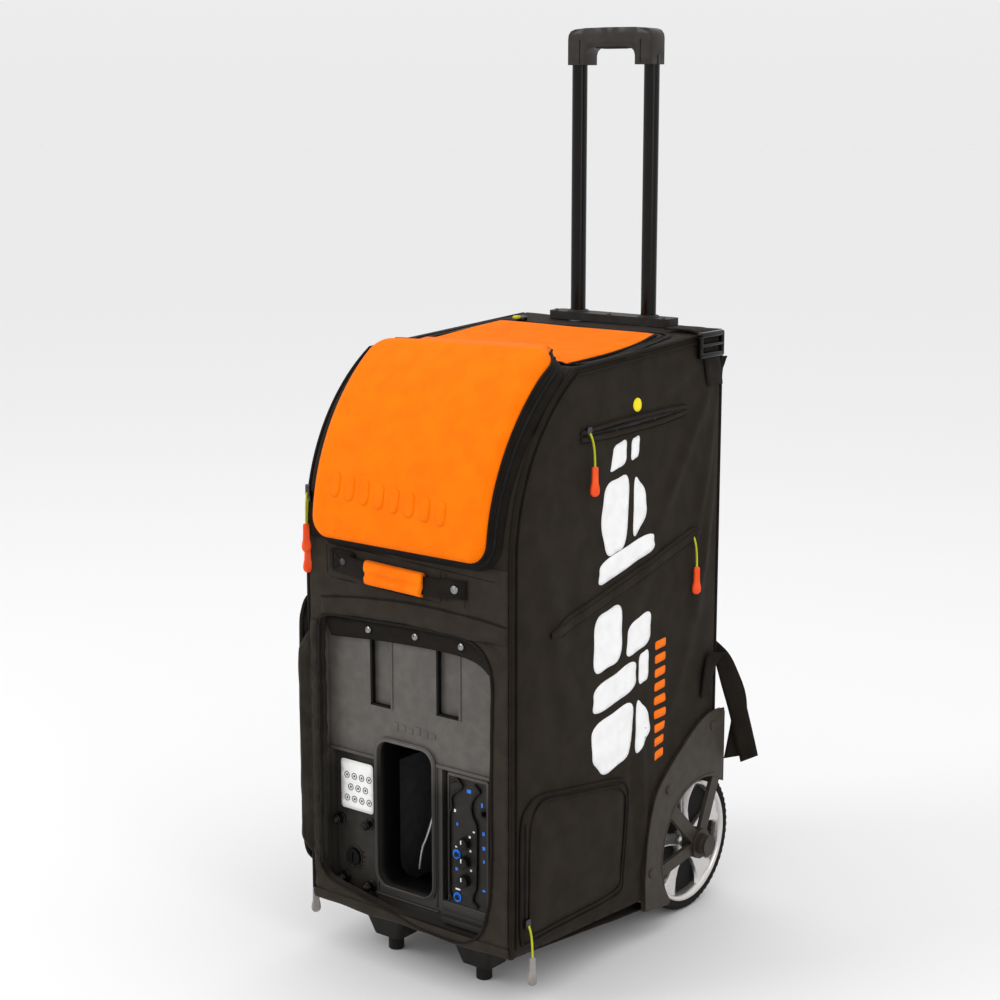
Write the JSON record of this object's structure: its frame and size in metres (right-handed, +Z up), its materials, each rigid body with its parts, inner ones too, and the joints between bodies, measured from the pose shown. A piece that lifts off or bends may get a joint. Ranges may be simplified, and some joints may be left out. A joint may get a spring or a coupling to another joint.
{
  "type": "ball launcher trolley bag",
  "caption": "Upright wheeled trolley bag with an orange domed lid, holding a battery ball launcher behind a fold-away front flap.",
  "frame": {"origin": "on the floor at the middle of the bounding box", "axes": "+Z up with the handle drawn out, the launch opening faces -Y, +X is the side with the pockets"},
  "size_m": [0.4, 0.564, 1.264],
  "materials": {
    "black_fabric": "woven black nylon",
    "orange_shell": "moulded orange shell",
    "orange_wrap": "orange neoprene",
    "orange_pull": "moulded orange pull",
    "grey_pull": "translucent grey pull",
    "yellow_cord": "braided yellow-green cord",
    "black_webbing": "woven black webbing",
    "black_plastic": "textured black plastic",
    "dark_plastic": "dark grey moulded plastic",
    "gloss_black": "glossy black lacquer",
    "blue_ring": "blue translucent button",
    "steel": "plain steel",
    "aluminium": "sheet aluminium",
    "silver_rim": "silver painted plastic",
    "tyre": "fine-ribbed black tyre",
    "launch_rubber": "grippy black rubber",
    "battery_case": "grey battery case"
  },
  "bodies": {
    "bag": {"axle": "steel", "back_board": "black_fabric", "ball_chute": "black_plastic", "base_tray": "black_plastic", "battery_cover": "black_plastic", "battery_pack": "battery_case", "control_panel": "black_plastic", "diagonal_zip": "black_fabric", "feeder_floor": "black_plastic", "feeder_motor": "steel", "front_feet": "launch_rubber", "front_surround": "black_fabric", "front_zip_track": "black_fabric", "grab_strap": "black_webbing", "guide_tubes": "aluminium", "handle_housing": "dark_plastic", "hopper_bin": "black_plastic", "launcher_cradle": "steel", "launcher_fascia": "black_plastic", "lower_pocket": "black_fabric", "rear_buckle": "black_plastic", "rear_strap": "black_webbing", "side_panel_left": "black_fabric", "side_panel_right": "black_fabric", "strap_wrap": "orange_wrap", "thumb_screws": "gloss_black", "top_deck": "black_fabric", "upper_pocket": "black_fabric", "wheel_guard_left": "dark_plastic", "wheel_guard_right": "dark_plastic"},
    "trolley_handle": {"handle_tubes": "gloss_black", "handle_grip": "black_plastic"},
    "release_button": {"handle_button": "black_plastic"},
    "wheel_right": {"rim_right": "silver_rim", "tyre_right": "tyre"},
    "wheel_left": {"rim_left": "silver_rim", "tyre_left": "tyre"},
    "front_cover": {"front_lid": "orange_shell"},
    "rear_cover": {"top_lid": "orange_shell"},
    "folding_flap": {"front_flap": "black_fabric"},
    "key": {"key_switch": "black_plastic"},
    "speed_dial": {"speed_knob": "black_plastic"},
    "feed_dial": {"feed_knob": "black_plastic"},
    "angle_dial": {"angle_knob": "black_plastic"},
    "start_key": {"start_button": "blue_ring"},
    "power_key": {"power_button": "blue_ring"},
    "tilting_head": {"launch_head": "aluminium", "launch_motors": "steel"},
    "low_roller": {"launch_wheel_low": "launch_rubber"},
    "high_roller": {"launch_wheel_high": "launch_rubber"},
    "feed_disc": {"feeder_rotor": "black_plastic"},
    "upper_zip": {"upper_slider": "black_plastic", "upper_pull_cord": "yellow_cord", "upper_pull_tab": "orange_pull"},
    "lower_zip": {"lower_slider": "black_plastic", "lower_pull_cord": "yellow_cord", "lower_pull_tab": "grey_pull"},
    "diagonal_zip_pull": {"diagonal_slider": "black_plastic", "diagonal_pull_cord": "yellow_cord", "diagonal_pull_tab": "orange_pull"}
  },
  "joints": [
    {"name": "handle_slide", "type": "slide", "parent": "bag", "child": "trolley_handle", "axis": [0, 0, 1], "range_m": [-0.345, 0]},
    {"name": "release_press", "type": "slide", "parent": "trolley_handle", "child": "release_button", "axis": [0, 0, 1], "range_m": [0, 0.003], "stiffness_N_per_m": 500, "springref_m": -0.002},
    {"name": "wheel_right_spin", "type": "hinge", "parent": "bag", "child": "wheel_right", "pos_m": [0.1535, 0.178, 0.104], "axis": [1, 0, 0], "continuous": true},
    {"name": "wheel_left_spin", "type": "hinge", "parent": "bag", "child": "wheel_left", "pos_m": [-0.1535, 0.178, 0.104], "axis": [1, 0, 0], "continuous": true},
    {"name": "front_lid_hinge", "type": "hinge", "parent": "bag", "child": "front_cover", "pos_m": [0, -0.1273, 0.8543], "axis": [-1, 0, 0], "range_deg": [0, 110]},
    {"name": "top_lid_hinge", "type": "hinge", "parent": "bag", "child": "rear_cover", "pos_m": [0, 0.127, 0.85061], "axis": [-1, 0, 0], "range_deg": [0, 85]},
    {"name": "flap_hinge", "type": "hinge", "parent": "bag", "child": "folding_flap", "pos_m": [-0.184, -0.273, 0.293], "axis": [0, 0, 1], "range_deg": [0, 268]},
    {"name": "key_turn", "type": "hinge", "parent": "bag", "child": "key", "pos_m": [-0.122, -0.232, 0.136], "axis": [0, -1, 0], "range_deg": [-90, 0]},
    {"name": "speed_turn", "type": "hinge", "parent": "bag", "child": "speed_dial", "pos_m": [0.084, -0.252, 0.207], "axis": [0, -1, 0], "range_deg": [-140, 140]},
    {"name": "feed_turn", "type": "hinge", "parent": "bag", "child": "feed_dial", "pos_m": [0.084, -0.252, 0.181], "axis": [0, -1, 0], "range_deg": [-140, 140]},
    {"name": "angle_turn", "type": "hinge", "parent": "bag", "child": "angle_dial", "pos_m": [0.084, -0.252, 0.155], "axis": [0, -1, 0], "range_deg": [-140, 140]},
    {"name": "start_press", "type": "slide", "parent": "bag", "child": "start_key", "axis": [0, 1, 0], "range_m": [0, 0.002], "stiffness_N_per_m": 400, "springref_m": -0.002},
    {"name": "power_press", "type": "slide", "parent": "bag", "child": "power_key", "axis": [0, 1, 0], "range_m": [0, 0.002], "stiffness_N_per_m": 400, "springref_m": -0.002},
    {"name": "head_tilt", "type": "hinge", "parent": "bag", "child": "tilting_head", "pos_m": [-0.018, -0.033, 0.218], "axis": [-1, 0, 0], "range_deg": [-6, 12]},
    {"name": "low_roller_spin", "type": "hinge", "parent": "tilting_head", "child": "low_roller", "pos_m": [-0.018, -0.088, 0.148], "axis": [1, 0, 0], "continuous": true},
    {"name": "high_roller_spin", "type": "hinge", "parent": "tilting_head", "child": "high_roller", "pos_m": [-0.018, -0.088, 0.288], "axis": [1, 0, 0], "continuous": true},
    {"name": "feed_disc_spin", "type": "hinge", "parent": "bag", "child": "feed_disc", "pos_m": [0, -0.038, 0.455], "axis": [0, 0, 1], "continuous": true},
    {"name": "upper_zip_run", "type": "slide", "parent": "bag", "child": "upper_zip", "axis": [0, 1, 0], "range_m": [0, 0.215]},
    {"name": "diagonal_zip_run", "type": "slide", "parent": "bag", "child": "diagonal_zip_pull", "axis": [0, -0.9766, -0.2151], "range_m": [0, 0.3]},
    {"name": "lower_zip_run", "type": "slide", "parent": "bag", "child": "lower_zip", "axis": [0, 0, 1], "range_m": [0, 0.126]}
  ]
}
